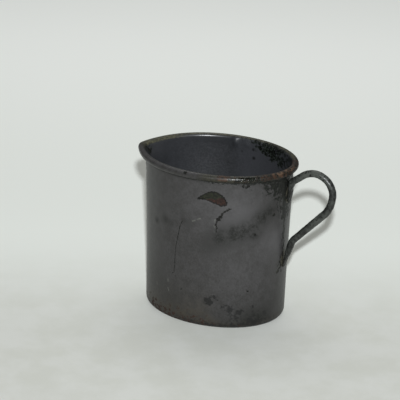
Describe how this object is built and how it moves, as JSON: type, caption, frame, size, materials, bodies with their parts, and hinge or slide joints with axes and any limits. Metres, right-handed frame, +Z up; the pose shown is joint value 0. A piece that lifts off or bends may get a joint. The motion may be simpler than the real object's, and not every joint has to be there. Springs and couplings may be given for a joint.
{
  "type": "pouring jug",
  "caption": "Small oval sheet-iron pouring jug with grey glass enamel, a beaked spout, a wired rolled rim and a bent rod handle.",
  "frame": {"origin": "centre of the oval resting face, on the surface that the jug stands on", "axes": "+Z up, +X towards the handle, -X towards the spout, Y across the jug"},
  "size_m": [0.1186, 0.0722, 0.0907],
  "materials": {
    "ground_coat_iron": "drawn sheet iron under a thin near-black ground coat, rusted brown where the glass has chipped off",
    "bare_wire": "drawn iron wire",
    "outer_enamel": "worn semi-gloss dark grey vitreous enamel with chips, fine cracks and rust staining",
    "inner_enamel": "worn semi-gloss slate grey vitreous enamel",
    "handle_black": "black ground coat enamel, satin",
    "weld_metal": "weld metal under black ground coat"
  },
  "bodies": {
    "root": {"body_shell": "ground_coat_iron", "rim_wire": "bare_wire", "outer_enamel": "outer_enamel", "inner_enamel": "inner_enamel", "handle_rod": "handle_black", "upper_weld": "weld_metal", "lower_weld": "weld_metal"}
  },
  "joints": []
}
